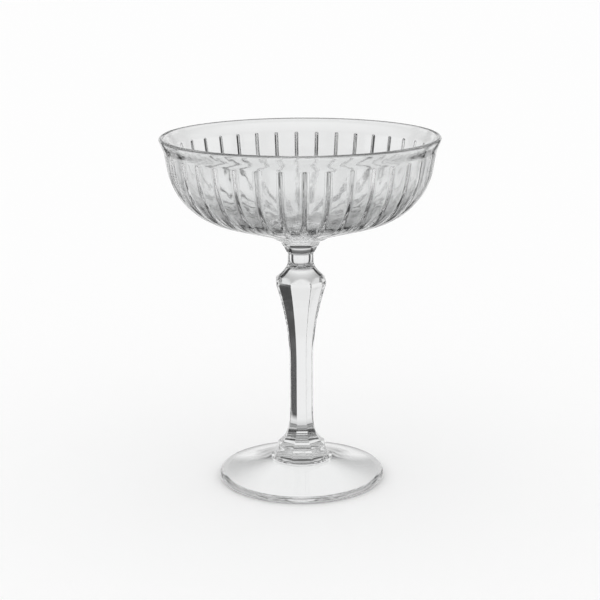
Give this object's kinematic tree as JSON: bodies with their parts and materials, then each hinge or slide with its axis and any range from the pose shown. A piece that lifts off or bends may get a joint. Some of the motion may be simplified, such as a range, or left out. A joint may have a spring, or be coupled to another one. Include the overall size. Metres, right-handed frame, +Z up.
{
  "type": "coupe glass",
  "caption": "Clear coupe drinking glass: wide shallow bowl cut with vertical flutes, ringed collar, eight-sided tapering stem with a sharp knop, and a round foot.",
  "frame": {"origin": "middle of the ring that the foot rests on, in the plane of the table", "axes": "+Z up along the axis of the stem; -Y is the front, which one flat of the stem and one flute of the bowl face; +X is to the right of it"},
  "size_m": [0.11, 0.11, 0.14],
  "materials": {
    "clear_glass": "clear, fire-polished and cut, no colour"
  },
  "bodies": {
    "root": {"bowl": "clear_glass", "collar": "clear_glass", "stem": "clear_glass", "button": "clear_glass", "foot": "clear_glass"}
  },
  "joints": []
}
